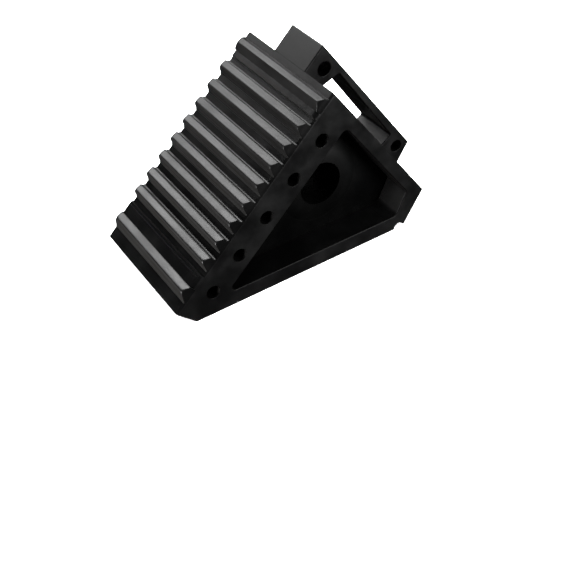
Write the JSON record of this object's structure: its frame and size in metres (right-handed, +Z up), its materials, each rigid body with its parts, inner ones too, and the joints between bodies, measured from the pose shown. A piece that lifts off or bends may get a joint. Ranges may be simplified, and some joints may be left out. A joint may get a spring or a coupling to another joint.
{
  "type": "wheel chock",
  "caption": "Black moulded rubber wheel chock: a ribbed wedge with hollow sides, a holed web and a carrying handle on its back face, for holding a parked wheel.",
  "frame": {"origin": "on the ground, under the middle of the overall length and width", "axes": "+X runs from the thin toe to the handle end, +Z is up, +Y is across the width, the left side when looking from the toe to the handle"},
  "size_m": [0.2146, 0.1016, 0.1458],
  "materials": {
    "moulded_rubber": "satin black moulded rubber, slightly shiny on the ribs"
  },
  "bodies": {
    "root": {"toe_block": "moulded_rubber", "tread_wall": "moulded_rubber", "apex_block": "moulded_rubber", "back_wall": "moulded_rubber", "heel_block": "moulded_rubber", "base_wall": "moulded_rubber", "handle_top_lug": "moulded_rubber", "handle_grip": "moulded_rubber", "handle_bottom_lug": "moulded_rubber", "centre_web": "moulded_rubber", "web_boss_left": "moulded_rubber", "web_boss_right": "moulded_rubber", "rib_01": "moulded_rubber", "rib_02": "moulded_rubber", "rib_03": "moulded_rubber", "rib_04": "moulded_rubber", "rib_05": "moulded_rubber", "rib_06": "moulded_rubber", "rib_07": "moulded_rubber", "rib_08": "moulded_rubber", "rib_09": "moulded_rubber", "rib_10": "moulded_rubber", "toe_land": "moulded_rubber", "top_step": "moulded_rubber"}
  },
  "joints": []
}
